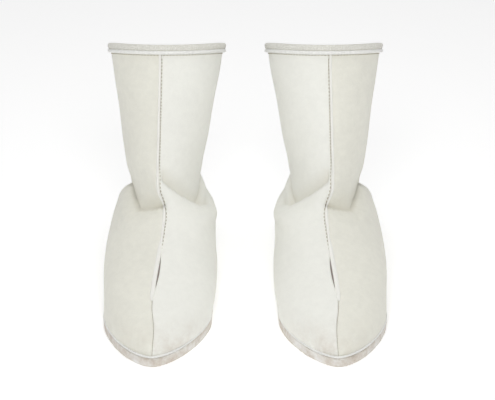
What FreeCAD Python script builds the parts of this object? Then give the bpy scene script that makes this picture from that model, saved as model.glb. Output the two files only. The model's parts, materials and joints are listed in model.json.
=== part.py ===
import FreeCAD, Part
import math
import os

# A pair of soft pull-on boots in thick felt: two side panels per boot, joined by a raised front
# seam, a bound collar, a creased ankle, white piping round the foot and a flat felt sole.
# Millimetres, +Z up, toes towards -Y, the pair side by side along X. The origin is on the floor
# at the middle of the pair. The boot at -X is drawn and the one at +X is its mirror image.

# The pair and the felt
boot_spacing = 165.0        # middle of one foot to the middle of the other
felt_wall = 4.0             # thickness of the side panels
panel_gap = 3.4             # width between the two panels along a seam
fit_gap = 0.3               # clearance between curved neighbours

# The foot, with reaches measured from the ankle's middle line
toe_reach = 195.0
heel_reach = 84.0
heel_swell = 5.0            # how far the heel bulges behind the edge of the sole
sole_thickness = 9.0
sole_margin = 2.9           # how far the sole stands out round the panels
sole_rounding = 1.6         # bevel round the sole's lower edge
insole_thickness = 4.0
insole_clearance = 1.2
piping_diameter = 1.8
piping_clearance = 0.9      # leaves room for the felt to swell above the piping

# Full widths of the foot, from the sole up to the crease
welt_width = 104.8
edge_width = 107.4
toe_width = 110.4
vamp_width = 110.0
ball_width = 109.0
instep_width = 106.0
bridge_width = 100.0
crease_width = 82.0

# The ankle crease and the leaning shaft
crease_reach = 48.0         # crease at the front seam, ahead of the ankle's middle line
crease_height = 98.0
crease_back_height = 77.0
ankle_back_reach = 80.5     # narrowest place at the back
shaft_lean = 18.0           # degrees that the front of the shaft leans back
shaft_length = 163.0        # along the front, from the crease to the collar
shaft_back_power = 2.35     # how late the back of the shaft swings outwards
tuck_width = 75.4
neck_width = 77.0
calf_width = 86.0
upper_width = 98.0
collar_width = 113.6        # over the felt, at the top edge
collar_tilt = 25.0          # degrees that the collar drops towards the back
collar_flare = 0.13         # growth of the collar's radius for each millimetre up
collar_sway = 3.6           # how far the collar stands towards the other boot

# Trim
seam_offset = 4.0           # how far the front seam sits outwards of the shaft's middle
seam_clearance = 0.35       # between a seam strip and the panels beside it
welt_ridge = 1.6            # how far the front seam stands up
tape_ridge = 0.3            # how far the back seam stands up
toe_tape_depth = 0.4        # how far the toe's butt seam lies below the felt
thread_size = 0.9
thread_clearance = 0.5      # between the stitch line and the felt below it
binding_height = 6.6        # knit collar binding, measured down the outside
binding_inner_height = 9.0
binding_thickness = 2.4
bead_diameter = 3.6         # white bead under the binding

# The ankle's hinge line and the wedges that stay soft round it
pivot_reach = 15.0          # behind the ankle's middle line
pivot_height = 88.0
pivot_neck = 3.0            # felt left between the wedges
wedge_front_low = 2.0       # degrees above level, looking forwards
wedge_front_high = 30.0
wedge_back_low = -6.0       # degrees above level, looking backwards
wedge_back_high = 9.0

curve_steps = 16            # spans along each panel's curve
row_spacing = 11.0          # between the sections that the panels are lofted through
strip_spacing = 5.5         # between the sections of the thin strips along the seams
ridge_start = 46.0          # from the sole's tip up to where the raised seam begins
strip_drop = 13.0           # from the collar's edge down to where the seam strips end

# Rows of the foot from the sole up to the crease. Shares: how far forward and how high the front
# seam lies, how high the back seam lies, and how far back the row is widest. Then the roundness of
# its front and back, and its skew and sway sideways in millimetres.
foot_rows = [
    (welt_width, 1.000, 0.00, 0.00, 0.30, 1.75, 2.50, 0.0, -0.8),
    (edge_width, 0.985, 0.12, 0.16, 0.31, 1.80, 2.50, -1.5, 0.0),
    (toe_width, 0.900, 0.26, 0.30, 0.34, 1.90, 2.40, -4.5, 0.7),
    (vamp_width, 0.762, 0.40, 0.44, 0.37, 1.90, 2.35, -6.5, 0.5),
    (ball_width, 0.592, 0.53, 0.57, 0.40, 1.85, 2.30, -4.5, 0.0),
    (instep_width, 0.395, 0.69, 0.70, 0.44, 1.80, 2.20, -1.0, 0.0),
    (bridge_width, 0.197, 0.84, 0.83, 0.46, 1.80, 2.10, 1.5, 0.7),
    (crease_width, 0.000, 1.00, 1.00, 0.48, 1.75, 2.00, 1.2, 1.0),
]

# Rows of the shaft above the crease: width, share of the length up the front, share of the height
# up the back, roundness of the front and back, skew, sway and share of the seam's offset.
shaft_rows = [
    (tuck_width, 0.075, 0.060, 1.75, 2.00, -0.5, 0.7, 0.40),
    (neck_width, 0.196, 0.157, 1.80, 1.95, -1.0, 0.7, 0.70),
    (calf_width, 0.380, 0.352, 1.85, 1.95, -0.5, 1.5, 0.85),
    (upper_width, 0.644, 0.680, 1.90, 1.97, 0.0, 2.7, 1.00),
]

collar_depths = [14.0, 7.0, 0.0]


class Section:
    """One closed outline across a boot, from its front seam to its back seam."""

    def __init__(self, front, back, width, widest, front_power, back_power, skew, sway, seam):
        self.sizes = (*front, *back, width, widest, front_power, back_power, skew, sway, seam)
        self.front = front
        self.back = back
        self.half_width = width / 2
        self.widest = widest
        self.front_power = front_power
        self.back_power = back_power
        self.skew = skew
        self.sway = sway
        self.seam = seam
        self.length = math.hypot(back[0] - front[0], back[1] - front[1])

    def place(self, across, along):
        share = along / self.length
        x = -boot_spacing / 2 + self.sway + across + self.skew * (1 - share) ** 2
        y = self.front[0] + (self.back[0] - self.front[0]) * share
        z = self.front[1] + (self.back[1] - self.front[1]) * share
        return FreeCAD.Vector(x, y, z)

    def outline(self, turn):
        # turn runs from 0 at the front to 1 at the back, and is negative on the outer side
        size = abs(turn)
        if size < 0.5:
            angle = math.pi * size
            power = 2 / self.front_power
            share = self.widest * (1 - max(math.cos(angle), 0.0) ** power)
        else:
            angle = math.pi * (1 - size)
            power = 2 / self.back_power
            share = 1 - (1 - self.widest) * (1 - max(math.cos(angle), 0.0) ** power)
        across = self.half_width * abs(math.sin(angle)) ** power
        return math.copysign(across, turn), self.length * share

    def inset(self, turn, depth):
        # a point inside the outline by the given depth, square to it
        step = 0.002
        x0, along0 = self.outline(max(turn - step, -1.0))
        x1, along1 = self.outline(min(turn + step, 1.0))
        run = math.hypot(x1 - x0, along1 - along0)
        x, along = self.outline(turn)
        return x - depth * (along1 - along0) / run, along + depth * (x1 - x0) / run

    def turn_at(self, across, depth, at_back):
        # the turn where the inset outline crosses a line parallel to the seam
        low, high = -0.5, 0.5
        if at_back:
            low, high = (1.0, 0.5) if across > 0 else (-0.5, -1.0)
        for _ in range(40):
            middle = (low + high) / 2
            if self.inset(middle, depth)[0] < across:
                low = middle
            else:
                high = middle
        return (low + high) / 2

    def surface_at(self, across, at_back):
        # how far along the outer surface lies at that place beside the seam
        return self.outline(self.turn_at(across, 0.0, at_back))[1]


class Track:
    """Sections blended smoothly between the rows, by their distance up the boot."""

    def __init__(self, rows):
        self.rows = [row.sizes for row in rows]
        self.marks = [0.0]
        for low, high in zip(rows, rows[1:]):
            front = math.dist(low.front, high.front)
            back = math.dist(low.back, high.back)
            self.marks.append(self.marks[-1] + (front + back) / 2)
        self.top = self.marks[-1]

    def slope(self, index, field):
        # the rate at which one size changes at a row, weighted towards the nearer neighbour
        rows, marks = self.rows, self.marks
        if index in (0, len(rows) - 1):
            low = min(index, len(rows) - 2)
            return (rows[low + 1][field] - rows[low][field]) / (marks[low + 1] - marks[low])
        before = marks[index] - marks[index - 1]
        after = marks[index + 1] - marks[index]
        fall = (rows[index][field] - rows[index - 1][field]) / before
        rise = (rows[index + 1][field] - rows[index][field]) / after
        return (fall * after + rise * before) / (before + after)

    def section_at(self, distance):
        low = max(i for i in range(len(self.rows) - 1) if self.marks[i] <= distance or i == 0)
        span = self.marks[low + 1] - self.marks[low]
        t = (distance - self.marks[low]) / span
        sizes = []
        for field, (start, end) in enumerate(zip(self.rows[low], self.rows[low + 1])):
            leave = self.slope(low, field) * span
            arrive = self.slope(low + 1, field) * span
            sizes.append(start * (1 + 2 * t) * (1 - t) ** 2 + leave * t * (1 - t) ** 2
                         + end * t * t * (3 - 2 * t) + arrive * t * t * (t - 1))
        return Section(tuple(sizes[0:2]), tuple(sizes[2:4]), *sizes[4:])

    def spread(self, start, end, spacing):
        count = max(2, round((end - start) / spacing))
        return [self.section_at(start + (end - start) * i / count) for i in range(count + 1)]


def shaft_front(distance):
    lean = math.radians(shaft_lean)
    return -crease_reach + distance * math.sin(lean), crease_height + distance * math.cos(lean)


def collar_circle(depth):
    # middle and radius of the felt's outer circle, a given depth below the top edge
    tilt = math.radians(collar_tilt)
    front = shaft_front(shaft_length)
    radius = collar_width / 2
    middle = (front[0] + radius * math.cos(tilt) - depth * math.sin(tilt),
              front[1] - radius * math.sin(tilt) - depth * math.cos(tilt))
    return middle, radius - collar_flare * depth


def foot_sections():
    sections = []
    for width, forward, rise, back_rise, widest, front, back, skew, sway in foot_rows:
        toe = (-(crease_reach + forward * (toe_reach - crease_reach)),
               sole_thickness + rise * (crease_height - sole_thickness))
        reach = heel_reach + (ankle_back_reach - heel_reach) * back_rise
        reach += heel_swell * math.sin(math.pi * back_rise)
        heel = (reach, sole_thickness + back_rise * (crease_back_height - sole_thickness))
        sections.append(Section(toe, heel, width, widest, front, back, skew, sway, 0.0))
    return sections


def shaft_sections():
    tilt = math.radians(collar_tilt)
    middle, radius = collar_circle(0.0)
    top = (middle[0] + radius * math.cos(tilt), middle[1] - radius * math.sin(tilt))
    sections = []
    for width, up, back_up, front, back, skew, sway, seam_share in shaft_rows:
        reach = ankle_back_reach + (top[0] - ankle_back_reach) * back_up ** shaft_back_power
        height = crease_back_height + (top[1] - crease_back_height) * back_up
        sections.append(Section(shaft_front(up * shaft_length), (reach, height), width, 0.5,
                                front, back, skew, sway, -seam_offset * seam_share))
    return sections


def collar_sections():
    tilt = math.radians(collar_tilt)
    sections = []
    for depth in collar_depths:
        middle, radius = collar_circle(depth)
        reach = radius * math.cos(tilt)
        drop = radius * math.sin(tilt)
        sections.append(Section((middle[0] - reach, middle[1] + drop),
                                (middle[0] + reach, middle[1] - drop), 2 * radius, 0.5,
                                2.0, 2.0, 0.0, collar_sway, -seam_offset))
    return sections


def smooth_edge(points):
    steps = len(points) - 1
    curve = Part.BSplineCurve()
    curve.interpolate(Points=points, Parameters=[i / steps for i in range(steps + 1)])
    return curve.toShape()


def panel_points(section, side, depth):
    # points along one panel's curve from the front seam to the back seam
    start = section.turn_at(section.seam + side * panel_gap / 2, depth, False)
    end = section.turn_at(side * panel_gap / 2, depth, True)
    turns = [start + (end - start) * i / curve_steps for i in range(curve_steps + 1)]
    return [section.place(*section.inset(turn, depth)) for turn in turns]


def panel(sections, side):
    wires = []
    for section in sections:
        outside = panel_points(section, side, 0.0)
        inside = panel_points(section, side, felt_wall)
        wires.append(Part.Wire([smooth_edge(outside),
                                Part.LineSegment(outside[-1], inside[-1]).toShape(),
                                smooth_edge(inside[::-1]),
                                Part.LineSegment(inside[0], outside[0]).toShape()]))
    return Part.makeLoft(wires, True, False)


def seam_strip(sections, across, width, outer, inner, at_back=False):
    # a strip along a seam between two depths, where a depth below zero stands proud
    inward = -1 if at_back else 1
    wires = []
    for section in sections:
        middle = across if at_back else section.seam + across
        base = section.surface_at(middle, at_back)
        corners = [(-width / 2, outer), (width / 2, outer), (width / 2, inner), (-width / 2, inner)]
        points = [section.place(middle + aside, base + inward * depth) for aside, depth in corners]
        wires.append(Part.makePolygon(points + [points[0]]))
    return Part.makeLoft(wires, True, True)


def ground_outline(section, depth, height):
    # a closed outline in a level plane, a given depth inside the panels' lower edge
    count = 4 * curve_steps
    points = []
    for index in range(count):
        turn = -1 + 2 * index / count
        point = section.place(*section.inset(turn, depth))
        points.append(FreeCAD.Vector(point.x, point.y, height))
    curve = Part.BSplineCurve()
    curve.interpolate(Points=points, PeriodicFlag=True)
    return Part.Wire(curve.toShape())


def outsole(section):
    outlines = [ground_outline(section, sole_rounding - sole_margin, 0.0),
                ground_outline(section, -sole_margin, sole_rounding),
                ground_outline(section, -sole_margin, sole_thickness)]
    return Part.makeLoft(outlines, True, True)


def insole(section):
    outline = ground_outline(section, felt_wall + insole_clearance, sole_thickness)
    return Part.Face(outline).extrude(FreeCAD.Vector(0, 0, insole_thickness))


def sole_piping(section):
    # a bead round the panels' lower edge, rounded outside and flat against the felt
    low = sole_thickness + fit_gap / 2
    inner = -piping_clearance
    slim, full = inner - piping_diameter * 0.6, inner - piping_diameter
    layers = [(slim, 0.0), (full, 0.25), (full, 0.75), (slim, 1.0)]
    bead = Part.makeLoft([ground_outline(section, depth, low + share * piping_diameter)
                          for depth, share in layers], True, True)
    core = Part.Face(ground_outline(section, inner, low - piping_diameter))
    return bead.cut(core.extrude(FreeCAD.Vector(0, 0, 3 * piping_diameter)))


def side_prism(outline):
    # everything inside an outline drawn in the YZ plane, right across the boot
    points = [FreeCAD.Vector(-2 * boot_spacing, y, z) for y, z in outline]
    face = Part.Face(Part.makePolygon(points + [points[0]]))
    return face.extrude(FreeCAD.Vector(4 * boot_spacing, 0, 0))


def ray_end(angle, forward, rise):
    # the far end of a line that leaves the hinge line at an angle above level
    turn = math.radians(angle)
    far = 2 * toe_reach
    away = -far if forward else far
    return pivot_reach + away * math.cos(turn), pivot_height + rise + far * math.sin(turn)


def ankle_wedges():
    # the soft zone round the hinge line, two wedges that meet at the neck
    half = pivot_neck / 2
    return side_prism([(pivot_reach, pivot_height - half),
                       ray_end(wedge_front_low, True, -half),
                       ray_end(wedge_front_high, True, half),
                       (pivot_reach, pivot_height + half),
                       ray_end(wedge_back_high, False, half),
                       ray_end(wedge_back_low, False, -half)])


def above_ankle():
    top = pivot_height + 4 * toe_reach
    return side_prism([(pivot_reach, pivot_height),
                       ray_end((wedge_front_low + wedge_front_high) / 2, True, 0.0),
                       (pivot_reach - 2 * toe_reach, top),
                       (pivot_reach + 2 * toe_reach, top),
                       ray_end((wedge_back_low + wedge_back_high) / 2, False, 0.0)])


def split_at_ankle(shape):
    # the foot's, the ankle's and the shaft's share of a piece
    rest = shape.cut(ankle_wedges())
    return rest.cut(above_ankle()), shape.common(ankle_wedges()), rest.common(above_ankle())


def collar_axis():
    tilt = math.radians(collar_tilt)
    middle = collar_circle(0.0)[0]
    centre = FreeCAD.Vector(-boot_spacing / 2 + collar_sway, middle[0], middle[1])
    return centre, FreeCAD.Vector(0, math.sin(tilt), math.cos(tilt))


def collar_binding():
    # a folded band over the top edge, drawn as (radius, height above the edge) and turned round
    outer = collar_width / 2 + fit_gap
    inner = collar_width / 2 - felt_wall - 2 * fit_gap
    thick = binding_thickness
    low = collar_flare * binding_height
    deep = collar_flare * binding_inner_height
    profile = [(outer - low, -binding_height), (outer + thick - low, -binding_height),
               (outer + thick, fit_gap), (outer + thick / 3, fit_gap + thick * 0.8),
               (inner - thick / 3, fit_gap + thick * 0.8), (inner - thick, fit_gap),
               (inner - thick - deep, -binding_inner_height),
               (inner - deep, -binding_inner_height), (inner, fit_gap), (outer, fit_gap)]
    centre, axis = collar_axis()
    points = [centre + FreeCAD.Vector(1, 0, 0) * radius + axis * height
              for radius, height in profile]
    return Part.Face(Part.makePolygon(points + [points[0]])).revolve(centre, axis, 360)


def collar_ring(diameter, drop):
    # a round ring outside the felt, its middle a given drop below the top edge
    centre, axis = collar_axis()
    radius = collar_width / 2 - collar_flare * drop + fit_gap + diameter / 2
    return Part.makeTorus(radius, diameter / 2, centre - axis * drop, axis)


def boot_pieces():
    track = Track(foot_sections() + shaft_sections() + collar_sections())
    ground = track.section_at(0.0)
    whole = track.spread(0.0, track.top, row_spacing)
    toe = track.spread(0.0, ridge_start, strip_spacing)
    front = track.spread(ridge_start, track.top - strip_drop, strip_spacing)
    back = track.spread(0.0, track.top - strip_drop, strip_spacing)
    strip_width = panel_gap - 2 * seam_clearance
    bead_drop = binding_height + fit_gap + bead_diameter / 2
    thread_drop = bead_drop + fit_gap + (bead_diameter + thread_size) / 2
    thread_aside = (panel_gap + thread_size) / 2 + fit_gap
    pieces = {"outsole": outsole(ground),
              "insole": insole(ground),
              "sole_piping": sole_piping(ground),
              "toe_seam_tape": seam_strip(toe, 0.0, strip_width, toe_tape_depth, felt_wall),
              "collar_binding": collar_binding(),
              "collar_bead": collar_ring(bead_diameter, bead_drop),
              "collar_thread": collar_ring(thread_size, thread_drop)}
    long_pieces = {"lateral_panel": panel(whole, -1),
                   "medial_panel": panel(whole, 1),
                   "front_welt": seam_strip(front, 0.0, strip_width, -welt_ridge, felt_wall),
                   "back_tape": seam_strip(back, 0.0, strip_width, -tape_ridge, felt_wall, True),
                   "front_thread": seam_strip(front, thread_aside, thread_size,
                                              -thread_clearance - thread_size,
                                              -thread_clearance)}
    for name, shape in long_pieces.items():
        for place, share in zip(("foot", "ankle", "shaft"), split_at_ankle(shape)):
            pieces[name + "_" + place] = share
    return pieces


def main():
    os.makedirs("parts", exist_ok=True)
    pieces = boot_pieces()
    box = FreeCAD.BoundBox()
    for shape in pieces.values():
        box.add(shape.optimalBoundingBox())
    shift = FreeCAD.Vector(0, -(box.YMin + box.YMax) / 2, -box.ZMin)
    for name, shape in pieces.items():
        shape.translate(shift)
        mirrored = shape.mirror(FreeCAD.Vector(0, 0, 0), FreeCAD.Vector(1, 0, 0))
        shape.exportStep("parts/right_" + name + ".step")
        mirrored.exportStep("parts/left_" + name + ".step")
        print(name, "solids", len(shape.Solids), "valid", shape.isValid(),
              "volume", round(shape.Volume))
    print("hinge line at y", round(pivot_reach + shift.y, 3), "z", round(pivot_height + shift.z, 3))
    print("box", [round(value, 2) for value in (box.XMin, box.XMax, box.YMin, box.YMax,
                                                  box.ZMin, box.ZMax)])


main()
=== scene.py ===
import json
import math
import bpy
import bmesh
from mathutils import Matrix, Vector, noise


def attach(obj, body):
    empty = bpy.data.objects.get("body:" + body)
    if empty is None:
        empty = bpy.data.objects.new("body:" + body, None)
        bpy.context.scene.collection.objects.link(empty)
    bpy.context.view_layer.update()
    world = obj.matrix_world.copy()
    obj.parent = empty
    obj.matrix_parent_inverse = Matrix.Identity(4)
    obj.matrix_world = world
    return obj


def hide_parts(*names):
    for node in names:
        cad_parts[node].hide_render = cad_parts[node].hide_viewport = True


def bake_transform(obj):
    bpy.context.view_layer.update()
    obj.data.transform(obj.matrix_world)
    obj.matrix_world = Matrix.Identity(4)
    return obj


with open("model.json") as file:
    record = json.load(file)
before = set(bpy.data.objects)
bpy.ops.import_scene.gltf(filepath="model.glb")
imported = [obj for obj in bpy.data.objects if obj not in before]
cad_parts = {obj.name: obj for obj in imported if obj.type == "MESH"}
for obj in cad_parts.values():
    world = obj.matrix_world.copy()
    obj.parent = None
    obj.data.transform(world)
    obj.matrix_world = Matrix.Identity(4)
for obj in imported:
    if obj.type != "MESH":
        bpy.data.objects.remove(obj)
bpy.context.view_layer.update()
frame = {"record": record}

joints = {joint["name"]: joint for joint in frame["record"]["behaviour"]["joints"]}
hinge = Vector(joints["right_ankle"]["pos_m"])
print("frame loaded")

# the felt upper, shaped as the boots' solids but with a lower and flatter rim, a narrower seam and a
# more pointed toe
upper = {"spacing": 0.165, "toeReach": 0.195, "heelReach": 0.084, "heelSwell": 0.005,
         "soleHeight": 0.009, "creaseReach": 0.048, "creaseHeight": 0.098,
         "creaseBack": 0.077, "ankleBack": 0.0805, "lean": math.radians(18),
         "length": 0.1588, "backPower": 2.35, "collarWidth": 0.1136,
         "collarTilt": math.radians(21), "flare": 0.13, "collarSway": 0.0036,
         "seamOffset": 0.004, "wall": 0.004, "hingeReach": 0.015, "gap": 0.0016}

# rows up the foot: width, forward, rise, back rise, widest, roundness front and back, skew, sway
footRows = [(0.1048, 1.000, 0.00, 0.00, 0.30, 1.60, 2.50, -0.0045, -0.0008),
            (0.1074, 0.985, 0.12, 0.16, 0.31, 1.68, 2.50, -0.0045, 0.0),
            (0.1104, 0.900, 0.26, 0.30, 0.34, 1.90, 2.40, -0.0045, 0.0007),
            (0.1100, 0.762, 0.40, 0.44, 0.37, 1.90, 2.35, -0.0065, 0.0005),
            (0.1090, 0.592, 0.53, 0.57, 0.40, 1.85, 2.30, -0.0045, 0.0),
            (0.1060, 0.395, 0.69, 0.70, 0.44, 1.80, 2.20, -0.0010, 0.0),
            (0.1000, 0.197, 0.84, 0.83, 0.46, 1.80, 2.10, 0.0015, 0.0007),
            (0.0820, 0.000, 1.00, 1.00, 0.48, 1.75, 2.00, 0.0012, 0.0010)]

# rows up the shaft: width, up the front, up the back, roundness, skew, sway, share of seam offset
shaftRows = [(0.0754, 0.075, 0.060, 1.75, 2.00, -0.0005, 0.0007, 0.40),
             (0.0770, 0.196, 0.157, 1.80, 1.95, -0.0010, 0.0007, 0.70),
             (0.0860, 0.380, 0.352, 1.85, 1.95, -0.0005, 0.0015, 0.85),
             (0.0980, 0.644, 0.680, 1.90, 1.97, 0.0, 0.0027, 1.00)]
collarDepths = [0.014, 0.007, 0.0]


def shaftFront(distance):
    return (-upper["creaseReach"] + distance * math.sin(upper["lean"]),
            upper["creaseHeight"] + distance * math.cos(upper["lean"]))


def collarCircle(depth):
    tilt = upper["collarTilt"]
    front = shaftFront(upper["length"])
    radius = upper["collarWidth"] / 2
    middle = (front[0] + radius * math.cos(tilt) - depth * math.sin(tilt),
              front[1] - radius * math.sin(tilt) - depth * math.cos(tilt))
    return middle, radius - upper["flare"] * depth


def upperRows():
    rows = []
    for width, forward, rise, backRise, widest, front, back, skew, sway in footRows:
        toeY = -(upper["creaseReach"] + forward * (upper["toeReach"] - upper["creaseReach"]))
        toeZ = upper["soleHeight"] + rise * (upper["creaseHeight"] - upper["soleHeight"])
        heelY = upper["heelReach"] + (upper["ankleBack"] - upper["heelReach"]) * backRise
        heelY += upper["heelSwell"] * math.sin(math.pi * backRise)
        heelZ = upper["soleHeight"] + backRise * (upper["creaseBack"] - upper["soleHeight"])
        rows.append((toeY, toeZ, heelY, heelZ, width, widest, front, back, skew, sway, 0.0))
    tilt = upper["collarTilt"]
    middle, radius = collarCircle(0.0)
    topY = middle[0] + radius * math.cos(tilt)
    topZ = middle[1] - radius * math.sin(tilt)
    for width, up, backUp, front, back, skew, sway, seam in shaftRows:
        frontY, frontZ = shaftFront(up * upper["length"])
        backY = upper["ankleBack"] + (topY - upper["ankleBack"]) * backUp ** upper["backPower"]
        backZ = upper["creaseBack"] + (topZ - upper["creaseBack"]) * backUp
        rows.append((frontY, frontZ, backY, backZ, width, 0.5, front, back, skew, sway,
                     -upper["seamOffset"] * seam))
    for depth in collarDepths:
        middle, radius = collarCircle(depth)
        reach, drop = radius * math.cos(tilt), radius * math.sin(tilt)
        rows.append((middle[0] - reach, middle[1] + drop, middle[0] + reach, middle[1] - drop,
                     2 * radius, 0.5, 2.0, 2.0, 0.0, upper["collarSway"], -upper["seamOffset"]))
    return rows


rows = upperRows()
marks = [0.0]
for low, high in zip(rows, rows[1:]):
    marks.append(marks[-1] + (math.dist(low[0:2], high[0:2]) + math.dist(low[2:4], high[2:4])) / 2)
topMark = marks[-1]


def rowSlope(index, field):
    if index in (0, len(rows) - 1):
        low = min(index, len(rows) - 2)
        return (rows[low + 1][field] - rows[low][field]) / (marks[low + 1] - marks[low])
    before, after = marks[index] - marks[index - 1], marks[index + 1] - marks[index]
    fall = (rows[index][field] - rows[index - 1][field]) / before
    rise = (rows[index + 1][field] - rows[index][field]) / after
    return (fall * after + rise * before) / (before + after)


sectionCache = {}


def sectionAt(distance):
    key = round(distance, 6)
    if key not in sectionCache:
        low = max(i for i in range(len(rows) - 1) if marks[i] <= distance or i == 0)
        span = marks[low + 1] - marks[low]
        t = (distance - marks[low]) / span
        sizes = []
        for field, (start, end) in enumerate(zip(rows[low], rows[low + 1])):
            leave, arrive = rowSlope(low, field) * span, rowSlope(low + 1, field) * span
            sizes.append(start * (1 + 2 * t) * (1 - t) ** 2 + leave * t * (1 - t) ** 2
                         + end * t * t * (3 - 2 * t) + arrive * t * t * (t - 1))
        sectionCache[key] = sizes
    return sectionCache[key]


def outlineAt(section, turn):
    size = abs(turn)
    if size < 0.5:
        angle, power = math.pi * size, 2 / section[6]
        share = section[5] * (1 - max(math.cos(angle), 0.0) ** power)
    else:
        angle, power = math.pi * (1 - size), 2 / section[7]
        share = 1 - (1 - section[5]) * (1 - max(math.cos(angle), 0.0) ** power)
    across = section[4] / 2 * abs(math.sin(angle)) ** power
    length = math.hypot(section[2] - section[0], section[3] - section[1])
    return math.copysign(across, turn), length * share


def insetAt(section, turn, depth):
    step = 0.002
    x0, along0 = outlineAt(section, max(turn - step, -1.0))
    x1, along1 = outlineAt(section, min(turn + step, 1.0))
    run = math.hypot(x1 - x0, along1 - along0)
    x, along = outlineAt(section, turn)
    return x - depth * (along1 - along0) / run, along + depth * (x1 - x0) / run


def turnAt(section, across, atBack=False):
    low, high = -0.5, 0.5
    if atBack:
        low, high = (1.0, 0.5) if across > 0 else (-0.5, -1.0)
    for _ in range(24):
        middle = (low + high) / 2
        if outlineAt(section, middle)[0] < across:
            low = middle
        else:
            high = middle
    return (low + high) / 2


def place(section, across, along, side):
    length = math.hypot(section[2] - section[0], section[3] - section[1])
    share = along / length
    x = -upper["spacing"] / 2 + section[9] + across + section[8] * (1 - share) ** 2
    y = section[0] + (section[2] - section[0]) * share + hinge.y - upper["hingeReach"]
    z = section[1] + (section[3] - section[1]) * share
    return Vector((-x if side == "left" else x, y, z))


# folds of the ankle, each a line of (turn from the seam, millimetres up the boot); then how deep it
# is, how wide, how far the felt bulges below it, how wide that bulge is, how far the felt above it
# leans in and how far up that reaches, in millimetres
folds = [{"line": [(-0.68, 120), (-0.54, 125), (-0.395, 129), (-0.30, 119), (-0.24, 112), (-0.12, 117),
                   (0.01, 121)],
          "deep": 2.4, "wide": 2.8, "bulge": 3.0, "spread": 9.0, "lean": 4.6, "reach": 15.0},
         {"line": [(-0.34, 99), (-0.18, 109), (-0.02, 120)],
          "deep": 1.2, "wide": 2.2, "bulge": 0.9, "spread": 5.0, "lean": 0.0, "reach": 8.0},
         {"line": [(0.01, 143), (0.14, 132), (0.25, 121), (0.33, 113), (0.42, 109)],
          "deep": 0.4, "wide": 5.0, "bulge": 3.6, "spread": 10.0, "lean": 4.2, "reach": 14.0},
         {"line": [(0.60, 138), (0.50, 133), (0.40, 124), (0.33, 115)],
          "deep": 2.0, "wide": 2.8, "bulge": 0.9, "spread": 6.0, "lean": 1.6, "reach": 9.0}]
girth = 170.0            # millimetres round the ankle for one whole turn from seam to seam
foldZone = {"low": 80, "lowFade": 10, "high": 175, "highFade": 25}      # millimetres up the boot
softness = {"scale": 0.045, "height": 0.0007, "radius": 0.054, "edge": 0.012, "topFade": 0.02}


def clampOne(value):
    return min(1.0, max(0.0, value))


def foldHeight(fold, across, up):
    # nearest place on the fold's line, and how far above (1) or below (-1) the line the point lies,
    # which turns smoothly from one to the other round the line's ends
    best = None
    points = [(turn * girth, height) for turn, height in fold["line"]]
    for (ax, ay), (bx, by) in zip(points, points[1:]):
        dx, dy = bx - ax, by - ay
        t = ((across - ax) * dx + (up - ay) * dy) / (dx * dx + dy * dy)
        t = clampOne(t)
        px, py = across - ax - t * dx, up - ay - t * dy
        gap = math.hypot(px, py)
        if best is None or gap < best[0]:
            out = (py * dx - px * dy) / math.hypot(dx, dy) * (1 if dx > 0 else -1)
            best = (gap, out / max(gap, 0.001))
    gap, above = best
    high = clampOne(0.5 + 0.5 * above)           # 1 above the line and 0 below it
    height = -fold["deep"] * math.exp(-(gap / fold["wide"]) ** 2)
    height += fold["bulge"] * math.exp(-((gap - fold["spread"]) / fold["spread"]) ** 2) * (1 - high)
    return height - fold["lean"] * math.exp(-(gap / fold["reach"]) ** 2) * high


def reliefAt(distance, turn):
    # how far the felt stands out of the plain shape at a place, in metres
    across, up = turn * girth, distance * 1000
    low, high = up - foldZone["low"], foldZone["high"] - up
    height = 0.0
    if low > 0 and high > 0:
        height = sum(foldHeight(fold, across, up) for fold in folds)
    height *= clampOne(low / foldZone["lowFade"]) * clampOne(high / foldZone["highFade"])
    angle = math.pi * turn
    spot = Vector((softness["radius"] * math.cos(angle), softness["radius"] * math.sin(angle), distance))
    wave = noise.noise(spot / softness["scale"]) * softness["height"]
    topFade = clampOne((topMark - distance - softness["edge"]) / softness["topFade"])
    return (height / 1000 + wave) * topFade * clampOne(distance / softness["edge"])


def surfacePoint(distance, turn, depth, side):
    section = sectionAt(distance)
    across, along = insetAt(section, turn, depth)
    return place(section, across, along, side)


def seamPoint(distance, aside, proud, side, atBack=False):
    # a point beside the front or back seam, standing proud of the felt
    section = sectionAt(distance)
    middle = 0.0 if atBack else section[10]
    turn = turnAt(section, middle + aside, atBack)
    across, along = insetAt(section, turn, -proud - reliefAt(distance, turn))
    return place(section, across, along, side)


def finish(bm, name, material, outward=None):
    # outward is the way that the faces of an open sheet look, taken together
    bmesh.ops.recalc_face_normals(bm, faces=bm.faces)
    if outward and sum(face.normal.dot(outward) * face.calc_area() for face in bm.faces) < 0:
        bmesh.ops.reverse_faces(bm, faces=bm.faces)
    mesh = bpy.data.meshes.new(name)
    bm.to_mesh(mesh)
    bm.free()
    for face in mesh.polygons:
        face.use_smooth = True
    piece = bpy.data.objects.new(name, mesh)
    bpy.context.scene.collection.objects.link(piece)
    mesh.materials.append(material)
    return piece


def gridMesh(acrossCount, alongCount, mapping, wrapAcross=False, wrapAlong=False):
    # a grid whose corners run 0 to 1 both ways, laid on the shape that mapping gives
    bm = bmesh.new()
    bmesh.ops.create_grid(bm, x_segments=acrossCount, y_segments=alongCount, size=0.5)
    for vert in bm.verts:
        vert.co = mapping(vert.co.x + 0.5, vert.co.y + 0.5)
    if wrapAcross or wrapAlong:
        bmesh.ops.remove_doubles(bm, verts=bm.verts, dist=0.00002)
    return bm


def ringSection(count, radius):
    return [(radius * math.cos(2 * math.pi * i / count), radius * math.sin(2 * math.pi * i / count))
            for i in range(count)]


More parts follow.
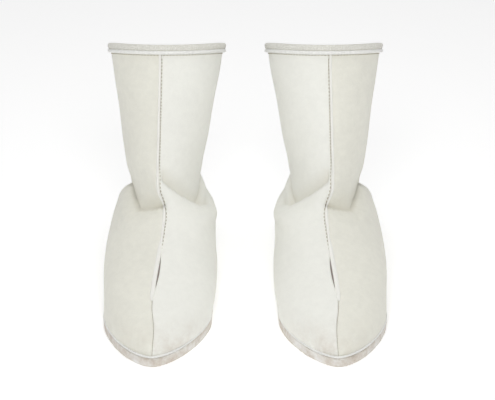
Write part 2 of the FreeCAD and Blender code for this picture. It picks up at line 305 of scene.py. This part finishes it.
class Socket:
    # wraps an output socket, so that shader maths reads as ordinary expressions
    def __init__(self, tree, link):
        self.tree = tree
        self.link = link

    def maths(self, operation, *values):
        node = self.tree.nodes.new("ShaderNodeMath")
        node.operation = operation
        for slot, value in zip(node.inputs, values):
            if isinstance(value, Socket):
                self.tree.links.new(value.link, slot)
            else:
                slot.default_value = value
        return Socket(self.tree, node.outputs[0])

    def __add__(self, other):
        return self.maths("ADD", self, other)

    def __radd__(self, other):
        return self.maths("ADD", other, self)

    def __sub__(self, other):
        return self.maths("SUBTRACT", self, other)

    def __rsub__(self, other):
        return self.maths("SUBTRACT", other, self)

    def __mul__(self, other):
        return self.maths("MULTIPLY", self, other)

    def __rmul__(self, other):
        return self.maths("MULTIPLY", other, self)

    def clamp(self):
        return self.maths("MINIMUM", self.maths("MAXIMUM", self, 0.0), 1.0)


class Finish:
    # a material with one principled shader and a helper for every other node
    def __init__(self, name, roughness, sheen=0.0):
        self.material = bpy.data.materials.new(name)
        self.material.use_nodes = True
        self.tree = self.material.node_tree
        self.shader = self.tree.nodes["Principled BSDF"]
        self.shader.inputs["Roughness"].default_value = roughness
        self.shader.inputs["Sheen Weight"].default_value = sheen
        self.shader.inputs["Specular IOR Level"].default_value = 0.25
        self.place = self.node("ShaderNodeTexCoord", {}, {}, "Object")

    def node(self, kind, settings, values, output=0):
        node = self.tree.nodes.new(kind)
        for key, value in settings.items():
            if key == "stops":
                ramp = node.color_ramp
                while len(ramp.elements) < len(value):
                    ramp.elements.new(0.5)
                for element, (position, colour) in zip(ramp.elements, value):
                    element.position = position
                    element.color = (*colour, 1.0)
            else:
                setattr(node, key, value)
        for key, value in values.items():
            if isinstance(value, Socket):
                self.tree.links.new(value.link, node.inputs[key])
            else:
                node.inputs[key].default_value = value
        return Socket(self.tree, node.outputs[output])

    def noise(self, scale, detail=3.0, roughness=0.5, stretch=(1, 1, 1)):
        spot = self.node("ShaderNodeMapping", {}, {"Vector": self.place, "Scale": stretch})
        return self.node("ShaderNodeTexNoise", {}, {"Vector": spot, "Scale": scale,
                                                    "Detail": detail, "Roughness": roughness})

    def ramp(self, factor, stops):
        return self.node("ShaderNodeValToRGB", {"stops": stops}, {"Fac": factor})

    def mask(self, value, low, high):
        return self.node("ShaderNodeMapRange", {"clamp": True},
                         {"Value": value, "From Min": low, "From Max": high})

    def mix(self, factor, first, second, blend="MIX"):
        return self.node("ShaderNodeMix", {"data_type": "RGBA", "blend_type": blend},
                         {0: factor, 6: first, 7: second}, 2)

    def paint(self, colour):
        self.tree.links.new(colour.link, self.shader.inputs["Base Color"])

    def bump(self, height, strength, distance):
        normal = self.node("ShaderNodeBump", {}, {"Height": height, "Strength": strength,
                                                  "Distance": distance})
        self.tree.links.new(normal.link, self.shader.inputs["Normal"])


# the fold entries paint shade into the felt's colour where the folds sink in
feltLook = {"roughness": 0.92, "sheen": 0.2, "cloudScale": 14.0, "mottleScale": 150.0,
            "fibreScale": 900.0, "fibreLight": 0.10, "bump": 0.35, "bumpDepth": 0.0012,
            "soil": 0.50, "soilColour": (0.50, 0.40, 0.31, 1), "soilScale": 60.0,
            "soilForward": (-0.085, -0.15), "soilHeight": (0.040, 0.010),
            "foldShadeStrength": 0.34, "foldShadeColour": (0.62, 0.58, 0.45, 1), "foldDepth": (-0.0012, -0.0055)}


def feltFinish(name, light, shade, dirt=1.0):
    dark = tuple(value * shade for value in light)
    felt = Finish(name, feltLook["roughness"], feltLook["sheen"])
    cloud = felt.noise(feltLook["cloudScale"], 4.0, 0.6)
    mottle = felt.noise(feltLook["mottleScale"], 4.0, 0.65)
    fibre = felt.noise(feltLook["fibreScale"], 3.0, 0.6)
    base = felt.mix(felt.mask(cloud * 0.5 + mottle * 0.5, 0.38, 0.62), (*dark, 1), (*light, 1))
    base = felt.mix(felt.mask(fibre, 0.3, 0.7) * feltLook["fibreLight"], base, (1, 1, 1, 1))
    height = felt.node("ShaderNodeSeparateXYZ", {}, {"Vector": felt.place}, 2)
    forward = felt.node("ShaderNodeSeparateXYZ", {}, {"Vector": felt.place}, 1)
    toe = felt.mask(forward, *feltLook["soilForward"])
    low = felt.mask(height, *feltLook["soilHeight"])
    blotch = felt.mask(felt.noise(feltLook["soilScale"], 5.0, 0.7), 0.36, 0.70)
    soil = (toe * low * blotch * feltLook["soil"] * dirt).clamp()
    relief = felt.node("ShaderNodeAttribute", {"attribute_name": "crease"}, {}, 2)
    # painted shade: the felt's colour is darkened and tinted yellow-green where a fold sinks in,
    # standing for the shade that falls in the creases
    paintedFoldShade = felt.mask(relief, *feltLook["foldDepth"]) * feltLook["foldShadeStrength"]
    base = felt.mix(paintedFoldShade, base, feltLook["foldShadeColour"])
    felt.paint(felt.mix(soil, base, feltLook["soilColour"]))
    felt.bump(mottle * 0.55 + fibre * 0.45, feltLook["bump"], feltLook["bumpDepth"])
    return felt.material


soleLook = {"roughness": 0.95, "sheen": 0.1, "grainScale": 170.0, "patchScale": 45.0, "bump": 0.6,
            "bumpDepth": 0.0012, "colours": [(0.0, (0.44, 0.37, 0.30)), (0.3, (0.64, 0.58, 0.51)),
                                             (0.6, (0.75, 0.72, 0.67)), (1.0, (0.86, 0.85, 0.83))]}


def soleFinish():
    dense = Finish("soleFelt", soleLook["roughness"], soleLook["sheen"])
    grain = dense.noise(soleLook["grainScale"], 5.0, 0.7)
    patch = dense.noise(soleLook["patchScale"], 4.0, 0.6)
    dense.paint(dense.ramp(dense.mask(patch * 0.55 + grain * 0.45, 0.33, 0.67), soleLook["colours"]))
    dense.bump(grain, soleLook["bump"], soleLook["bumpDepth"])
    return dense.material


knitLook = {"roughness": 0.9, "sheen": 0.2, "loopScale": 900.0, "light": (0.86, 0.85, 0.80, 1),
            "dark": (0.70, 0.69, 0.63, 1), "bump": 0.5, "bumpDepth": 0.0006}


def knitFinish():
    knit = Finish("knitBinding", knitLook["roughness"], knitLook["sheen"])
    loop = knit.node("ShaderNodeTexVoronoi", {}, {"Vector": knit.place, "Scale": knitLook["loopScale"]})
    knit.paint(knit.mix(knit.mask(loop, 0.1, 0.6), knitLook["light"], knitLook["dark"]))
    knit.bump(loop, knitLook["bump"], knitLook["bumpDepth"])
    return knit.material


def plainFinish(name, colour, roughness, scale):
    surface = Finish(name, roughness, 0.1)
    grain = surface.noise(scale, 4.0, 0.6)
    shade = tuple(value * 0.86 for value in colour)
    surface.paint(surface.mix(surface.mask(grain, 0.3, 0.7), (*shade, 1), (*colour, 1)))
    surface.bump(grain, 0.3, 0.0004)
    return surface.material


# the lateral felt is a darker, warmer copy of the medial felt: painted shade on the side of each boot
# turned from the light
medialFelt = feltFinish("medialFelt", (0.885, 0.885, 0.825), 0.95, 1.3)
shadedLateralFelt = feltFinish("shadedLateralFelt", (0.84, 0.83, 0.74), 0.93, 0.6)
# the ridge's felt is a little whiter than the panels': a painted highlight along the ridge
highlightRidgeFelt = feltFinish("highlightRidgeFelt", (0.90, 0.89, 0.84), 0.96, 0.3)
insoleFelt = feltFinish("insoleFelt", (0.80, 0.78, 0.72), 0.90, 0.0)
soleFelt = soleFinish()
knitIvory = knitFinish()
pipingWhite = plainFinish("pipingWhite", (0.90, 0.90, 0.87), 0.6, 500.0)
threadTan = plainFinish("threadTan", (0.46, 0.40, 0.30), 0.8, 900.0)
seamShadow = plainFinish("seamShadow", (0.50, 0.45, 0.38), 0.95, 600.0)
slitShadow = plainFinish("slitShadow", (0.36, 0.31, 0.29), 0.95, 600.0)
print("materials made")

panel = {"around": 100, "up": 190, "topDrop": 0.0015, "toeGap": 0.0005, "gapFade": 0.012}
ridge = {"start": 0.046, "topDrop": 0.009, "slim": 0.0026, "broad": 0.0044, "step": 0.088,
         "stepLength": 0.006, "height": 0.0024, "under": 0.6, "aside": -0.0006, "endSize": 0.3,
         "endRise": 40, "sides": 10, "up": 130}
slit = {"start": 0.052, "end": 0.084, "opening": 0.0006, "aside": 0.0021}


def slitOpening(distance):
    if not slit["start"] < distance < slit["end"]:
        return 0.0
    return math.sin(math.pi * (distance - slit["start"]) / (slit["end"] - slit["start"]))


def frontEdge(distance, inner):
    # how far the panel's edge lies from the middle of the front seam
    opened = clampOne((distance - ridge["start"]) / panel["gapFade"])
    edge = (panel["toeGap"] + (upper["gap"] - panel["toeGap"]) * opened) / 2
    if inner > 0:
        edge += slitOpening(distance) * (slit["aside"] + slit["opening"] / 2)
    return inner * edge


def sidePanel(side, inner):
    # inner is 1 for the panel on the other boot's side and -1 for the outer one
    reliefs = []

    def mapping(u, v):
        distance = v * (topMark - panel["topDrop"])
        section = sectionAt(distance)
        start = turnAt(section, section[10] + frontEdge(distance, inner))
        end = turnAt(section, inner * upper["gap"] / 2, True)
        turn = start + (end - start) * u
        reliefs.append(reliefAt(distance, turn))
        return surfacePoint(distance, turn, -reliefs[-1], side)

    bm = gridMesh(panel["around"], panel["up"], mapping)
    # the relief is kept on the mesh so that the felt can paint shade into the sunken folds
    crease = bm.verts.layers.float.new("crease")
    for vert, relief in zip(bm.verts, reliefs):
        vert[crease] = relief
    name = side + ("Medial" if inner > 0 else "Lateral") + "Panel"
    outward = Vector((-inner if side == "left" else inner, 0, 0))
    piece = finish(bm, name, medialFelt if inner > 0 else shadedLateralFelt, outward)
    wall = piece.modifiers.new("wall", "SOLIDIFY")
    wall.thickness = upper["wall"]
    wall.offset = -1
    return piece


ankle = {"below": 0.028, "above": 0.030}         # how far below and above the ankle a bend would reach; acrossAnkle reads these but bends nothing


def acrossAnkle(piece, side):
    centre = joints[side + "_ankle"]["pos_m"]
    centre[2] - ankle["below"]
    centre[2] + ankle["above"]
    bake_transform(piece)


def seamRidge(side):
    first, last = ridge["start"], topMark - ridge["topDrop"]
    sides = ridge["sides"]
    loop = ringSection(sides, 1.0)

    def mapping(u, v):
        distance = first + (last - first) * v
        x, out = loop[round(u * sides) % sides]
        size = min(1.0, v * ridge["endRise"] + ridge["endSize"])         # the toe end tapers
        thin = clampOne((distance - ridge["step"]) / ridge["stepLength"])
        width = ridge["broad"] + (ridge["slim"] - ridge["broad"]) * thin
        return seamPoint(distance, ridge["aside"] + x * width / 2 * size,
                         max(out, -ridge["under"]) * ridge["height"] * size, side)

    bm = gridMesh(sides, ridge["up"], mapping, wrapAcross=True)
    bmesh.ops.holes_fill(bm, edges=bm.edges)
    return finish(bm, side + "SeamRidge", highlightRidgeFelt)


stitch = {"length": 0.0020, "pitch": 0.0030, "radius": 0.00036, "aside": 0.0013, "proud": 0.0002,
          "slitGap": 0.002, "topDrop": 0.012, "sides": 6, "rings": 5}


def stitchRow(side, name, count, spot):
    # short round stitches lying along a line, each from one of its points to the next
    bm = bmesh.new()
    for index in range(count):
        start, end = spot(index)
        made = bmesh.ops.create_uvsphere(bm, u_segments=stitch["sides"],
                                         v_segments=stitch["rings"], radius=1.0)
        along = end - start
        turn = along.to_track_quat("Z", "Y").to_matrix().to_4x4()
        for vert in made["verts"]:
            size = Vector((vert.co.x * stitch["radius"], vert.co.y * stitch["radius"],
                           vert.co.z * along.length / 2))
            vert.co = turn @ size + (start + end) / 2
    return finish(bm, side + name, threadTan)


def frontStitches(side):
    first, last = slit["end"] + stitch["slitGap"], topMark - stitch["topDrop"]
    count = int((last - first) / stitch["pitch"])

    def spot(index):
        low = first + index * stitch["pitch"]
        return (seamPoint(low, stitch["aside"], stitch["proud"], side),
                seamPoint(low + stitch["length"], stitch["aside"], stitch["proud"], side))

    return stitchRow(side, "FrontStitches", count, spot)


# strips that close the gaps between the panels: where each starts and ends, how far it stands proud
# of the felt, its width and how far it lies aside of the seam
backTape = {"start": 0.0, "end": topMark - 0.013, "proud": 0.0003, "width": 0.0022, "aside": 0.0}
toeSeam = {"start": 0.0, "end": ridge["start"], "proud": -0.0005, "width": 0.0022, "aside": 0.0}
# a dark strip sunk under the open slit: painted shadow inside the slit
slitShadowStrip = {"start": slit["start"] - 0.004, "end": slit["end"] + 0.004, "proud": -0.0022,
              "width": 0.0052, "aside": 0.0012}
stripSteps = 110


def seamStrip(side, name, strip, material, atBack=False):
    loop = [(-0.5, 1.0), (0.5, 1.0), (0.5, 0.0), (-0.5, 0.0)]
    length, height = strip["end"] - strip["start"], strip["proud"] + upper["wall"]

    def mapping(u, v):
        x, out = loop[round(u * 4) % 4]
        return seamPoint(strip["start"] + length * v, strip["aside"] + x * strip["width"],
                         -upper["wall"] + out * height, side, atBack)

    bm = gridMesh(4, stripSteps, mapping, wrapAcross=True)
    bmesh.ops.holes_fill(bm, edges=bm.edges)
    return finish(bm, side + name, material)


binding = {"height": 0.0052, "above": 0.0012, "inner": 0.009, "thick": 0.0024, "ribs": 150,
           "rib": 0.00018, "saddle": 0.0012, "outerGap": 0.0002, "innerGap": 0.0006}


def collarFrame(side):
    middle = collarCircle(0.0)[0]
    x = -upper["spacing"] / 2 + upper["collarSway"]
    centre = Vector((x, middle[0] + hinge.y - upper["hingeReach"], middle[1]))
    axis = Vector((0, math.sin(upper["collarTilt"]), math.cos(upper["collarTilt"])))
    if side == "left":
        centre.x = -centre.x
    return centre, axis, axis.cross(Vector((1, 0, 0)))


def collarPoint(side, turn, radius, height):
    centre, axis, front = collarFrame(side)
    angle = 2 * math.pi * turn
    outward = Vector((1, 0, 0)) * math.cos(angle) + front * math.sin(angle)
    rise = height + binding["saddle"] * math.cos(2 * angle)
    return centre + outward * radius + axis * rise


def collarBinding(side):
    outer = upper["collarWidth"] / 2 + binding["outerGap"]
    inner = upper["collarWidth"] / 2 - upper["wall"] - binding["innerGap"]
    thick, top = binding["thick"], binding["above"]
    low, deep = upper["flare"] * binding["height"], upper["flare"] * binding["inner"]
    # the binding's section, over the rim from the outer edge to the inner one and back on the felt
    profile = [(outer - low, -binding["height"]), (outer + thick * 0.7 - low, -binding["height"]),
               (outer + thick - low * 0.8, -binding["height"] * 0.75),
               (outer + thick, -binding["height"] * 0.3), (outer + thick * 0.95, -top * 0.3),
               (outer + thick * 0.5, top * 0.75), (outer - thick * 0.2, top),
               (inner + thick * 0.2, top), (inner - thick * 0.5, top * 0.75),
               (inner - thick * 0.95, -top * 0.3), (inner - thick, -binding["inner"] * 0.4),
               (inner - thick - deep, -binding["inner"]), (inner - deep, -binding["inner"]),
               (inner, -top), (outer, -top)]
    ribbed = range(1, 11)                        # the points on the outside of the fold
    around = binding["ribs"] * 4

    def mapping(u, v):
        index = round(v * len(profile)) % len(profile)
        radius, height = profile[index]
        rib = binding["rib"] * math.cos(2 * math.pi * binding["ribs"] * u) if index in ribbed else 0.0
        outward = 1 if radius > (outer + inner) / 2 else -1
        return collarPoint(side, u, radius + outward * rib, height)

    bm = gridMesh(around, len(profile), mapping, wrapAcross=True, wrapAlong=True)
    return finish(bm, side + "CollarBinding", knitIvory)


bead = {"diameter": 0.0036, "overlap": 0.0003, "gap": 0.0002, "sides": 12, "around": 160}
collarStitch = {"count": 110, "share": 0.62, "drop": 0.0006, "proud": 0.0005}


def collarBead(side):
    drop = binding["height"] - bead["overlap"] + bead["diameter"] / 2
    radius = upper["collarWidth"] / 2 - upper["flare"] * drop + bead["gap"] + bead["diameter"] / 2
    sides = bead["sides"]
    loop = ringSection(sides, bead["diameter"] / 2)

    def mapping(u, v):
        out, up = loop[round(v * sides) % sides]
        return collarPoint(side, u, radius + out, -drop + up)

    bm = gridMesh(bead["around"], sides, mapping, wrapAcross=True, wrapAlong=True)
    return finish(bm, side + "CollarBead", pipingWhite)


# a row of tan stitches just under the bead: partly real stitching, partly painted shadow standing for
# the dark line under the bead
def collarStitchesAndShadowLine(side):
    drop = binding["height"] + bead["diameter"] + collarStitch["drop"]
    radius = upper["collarWidth"] / 2 - upper["flare"] * drop + collarStitch["proud"]
    count = collarStitch["count"]

    def spot(index):
        return (collarPoint(side, index / count, radius, -drop),
                collarPoint(side, (index + collarStitch["share"]) / count, radius, -drop))

    return stitchRow(side, "CollarStitchesAndShadowLine", count, spot)


piping = {"diameter": 0.0022, "clearance": 0.0003, "lift": 0.0001, "tuck": 0.4, "sides": 10,
          "around": 220}
sole = {"margin": 0.0029, "round": 0.0016, "sideShare": 0.15, "toeTurn": 0.35, "swell": 0.0002,
        "topDraw": 0.0006, "rough": 0.0003, "roughScale": 160, "around": 240}
insoleBoard = {"clearance": 0.0012, "thick": 0.004, "round": 0.0006, "around": 160}
rimWidths = (0.012, 0.030)                       # how far in the flat faces' inner rows lie


def soleReach(turn):
    # the sole stands out most at the toe and lies under the felt along the sides
    share = min(1.0, abs(turn) / sole["toeTurn"])
    return sole["sideShare"] + (1 - sole["sideShare"]) * (0.5 + 0.5 * math.cos(math.pi * share))


def groundPoint(turn, depth, height, side):
    section = sectionAt(0.0)
    across, along = insetAt(section, turn, depth)
    point = place(section, across, along, side)
    point.z = height
    return point


def solePiping(side):
    radius, sides = piping["diameter"] / 2, piping["sides"]
    loop = ringSection(sides, radius)

    def mapping(u, v):
        out, up = loop[round(v * sides) % sides]
        reach = (piping["clearance"] + radius) * soleReach(2 * u - 1) - radius * piping["tuck"]
        return groundPoint(2 * u - 1, -(reach + out),
                           upper["soleHeight"] + radius + piping["lift"] + up, side)

    bm = gridMesh(piping["around"], sides, mapping, wrapAcross=True, wrapAlong=True)
    return finish(bm, side + "SolePiping", pipingWhite)


def outsole(side):
    height, margin, curve = upper["soleHeight"], sole["margin"], sole["round"]
    near, far = rimWidths
    profile = [(far, 0.0), (near, 0.0), (-margin + curve, 0.0),
               (-margin + curve * 0.3, curve * 0.3), (-margin, curve),
               (-margin - sole["swell"], height * 0.5), (-margin, height * 0.85),
               (-margin + sole["topDraw"], height), (near, height), (far, height)]

    def mapping(u, v):
        depth, level = profile[round(v * (len(profile) - 1))]
        if depth > 0:
            return groundPoint(2 * u - 1, depth, level, side)
        point = groundPoint(2 * u - 1, depth * soleReach(2 * u - 1), level, side)
        rough = noise.noise(point * sole["roughScale"]) * sole["rough"]
        return point + Vector((rough, rough, 0))

    bm = gridMesh(sole["around"], len(profile) - 1, mapping, wrapAcross=True)
    bmesh.ops.holes_fill(bm, edges=bm.edges)
    return finish(bm, side + "Outsole", soleFelt)


def insole(side):
    depth, curve = upper["wall"] + insoleBoard["clearance"], insoleBoard["round"]
    thick, far = insoleBoard["thick"], rimWidths[1]
    profile = [(far, 0.0), (depth + curve, 0.0), (depth, curve), (depth, thick * 0.8),
               (depth + 0.001, thick), (far, thick)]

    def mapping(u, v):
        inset, level = profile[round(v * (len(profile) - 1))]
        return groundPoint(2 * u - 1, inset, upper["soleHeight"] + level, side)

    bm = gridMesh(insoleBoard["around"], len(profile) - 1, mapping, wrapAcross=True)
    bmesh.ops.holes_fill(bm, edges=bm.edges)
    return finish(bm, side + "Insole", insoleFelt)


def declare(piece, side, slot, *nodes):
    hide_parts(*[side + "_" + node for node in nodes])


def threeOf(name):
    return [name + "_" + share for share in ("foot", "ankle", "shaft")]


def makeBoot(side):
    tape = seamStrip(side, "BackTape", backTape, shadedLateralFelt, atBack=True)
    for piece, slot, node in ((sidePanel(side, -1), "felt", "lateral_panel"),
                              (sidePanel(side, 1), "felt", "medial_panel"),
                              (seamRidge(side), "felt", "front_welt"),
                              (frontStitches(side), "thread", "front_thread"),
                              (tape, "felt", "back_tape")):
        acrossAnkle(piece, side)
        declare(piece, side, slot, *threeOf(node))
    # the dark strip under the slit paints the shadow inside it
    slitShade = seamStrip(side, "SlitShadowStrip", slitShadowStrip, slitShadow)
    acrossAnkle(slitShade, side)
    toe = seamStrip(side, "ToeSeam", toeSeam, seamShadow)
    for piece, slot, node in ((toe, "felt", "toe_seam_tape"),
                              (solePiping(side), "white_piping", "sole_piping"),
                              (outsole(side), "sole_felt", "outsole"),
                              (insole(side), "insole_felt", "insole")):
        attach(piece, side + "_foot")
        declare(piece, side, slot, node)
    for piece, slot, node in ((collarBinding(side), "knit_binding", "collar_binding"),
                              (collarBead(side), "white_piping", "collar_bead"),
                              (collarStitchesAndShadowLine(side), "thread", "collar_thread")):
        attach(piece, side + "_shaft")
        declare(piece, side, slot, node)
    print(side, "boot made")


for side in ("right", "left"):
    makeBoot(side)

# the studio: a pale floor, soft lights and the camera of the photograph
camera = {"target": Vector((0.0022, 0.0216, 0.0928)), "distance": 2.0,
          "elevation": math.radians(25), "frameWidth": 0.495}
lights = [("key", (0.0, -0.8, 0.8), 0.3, 2.9), ("leftFill", (-1.6, -0.8, 1.1), 1.2, 1.0),
          ("rightFill", (1.6, -0.8, 1.1), 1.2, 1.0), ("top", (0.0, 0.1, 1.8), 1.2, 7.9)]
room = {"floorSize": 40, "floorColour": (0.95, 0.95, 0.95, 1), "floorGlow": 0.30, "sky": 0.44}


def makeStudio():
    bpy.ops.mesh.primitive_plane_add(size=room["floorSize"], location=(0, 0, 0))
    floor = bpy.context.object
    floor.name = "floor"
    paper = Finish("paleFloor", 0.9)
    paper.shader.inputs["Base Color"].default_value = room["floorColour"]
    paper.shader.inputs["Emission Color"].default_value = (1, 1, 1, 1)
    paper.shader.inputs["Emission Strength"].default_value = room["floorGlow"]
    floor.data.materials.append(paper.material)
    for name, spot, size, power in lights:
        lamp = bpy.data.lights.new(name, "AREA")
        lamp.size = size
        lamp.energy = power
        holder = bpy.data.objects.new(name, lamp)
        holder.location = spot
        aim = Vector((0, 0, 0.1)) - Vector(spot)
        holder.rotation_euler = aim.to_track_quat("-Z", "Y").to_euler()
        bpy.context.scene.collection.objects.link(holder)
    world = bpy.data.worlds.new("paleSky")
    bpy.context.scene.world = world
    world.use_nodes = True
    world.node_tree.nodes["Background"].inputs["Color"].default_value = (1, 1, 1, 1)
    world.node_tree.nodes["Background"].inputs["Strength"].default_value = room["sky"]
    eye = bpy.data.cameras.new("camera")
    eye.sensor_width = 36.0
    eye.lens = 36.0 * camera["distance"] / camera["frameWidth"]
    holder = bpy.data.objects.new("camera", eye)
    look = Vector((0, math.cos(camera["elevation"]), -math.sin(camera["elevation"])))
    holder.location = camera["target"] - look * camera["distance"]
    holder.rotation_euler = look.to_track_quat("-Z", "Y").to_euler()
    bpy.context.scene.collection.objects.link(holder)
    bpy.context.scene.camera = holder
    bpy.context.scene.view_settings.view_transform = "Standard"


makeStudio()
print("studio ready")
